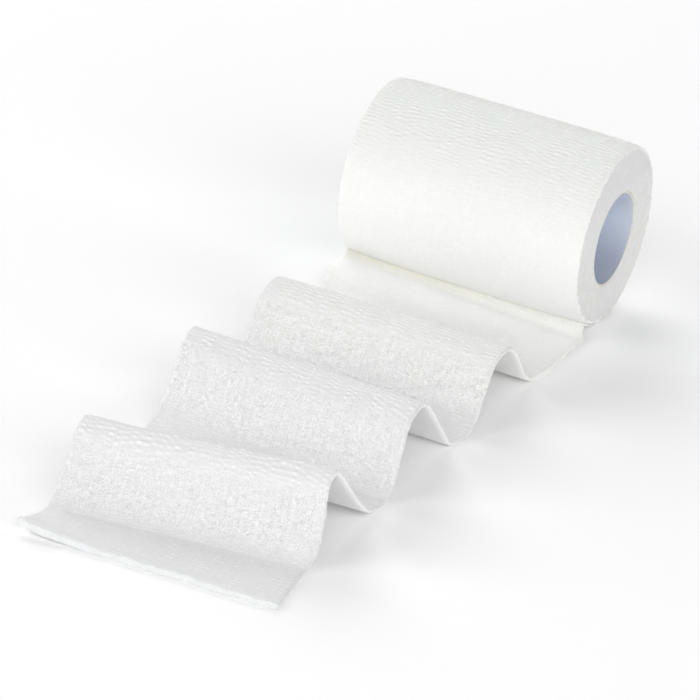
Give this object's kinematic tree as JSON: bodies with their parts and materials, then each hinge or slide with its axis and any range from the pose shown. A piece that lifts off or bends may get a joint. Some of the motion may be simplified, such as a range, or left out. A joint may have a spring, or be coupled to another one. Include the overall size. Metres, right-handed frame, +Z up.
{
  "type": "cohesive bandage roll",
  "caption": "Crinkled elastic cohesive bandage wound on a card tube, its loose end run out along the surface in standing waves.",
  "frame": {"origin": "on the surface the roll rests on, straight below the middle of its axis, on its flat spot", "axes": "+X along the roll's axis, -Y the way the loose end runs out, +Z up"},
  "size_m": [0.0778, 0.2525, 0.0557],
  "materials": {
    "bandage_cloth": "matte white crinkled non-woven with elastic threads along it",
    "core_card": "smooth coated blue-grey card"
  },
  "bodies": {
    "root": {"bandage": "bandage_cloth", "core": "core_card"}
  },
  "joints": []
}
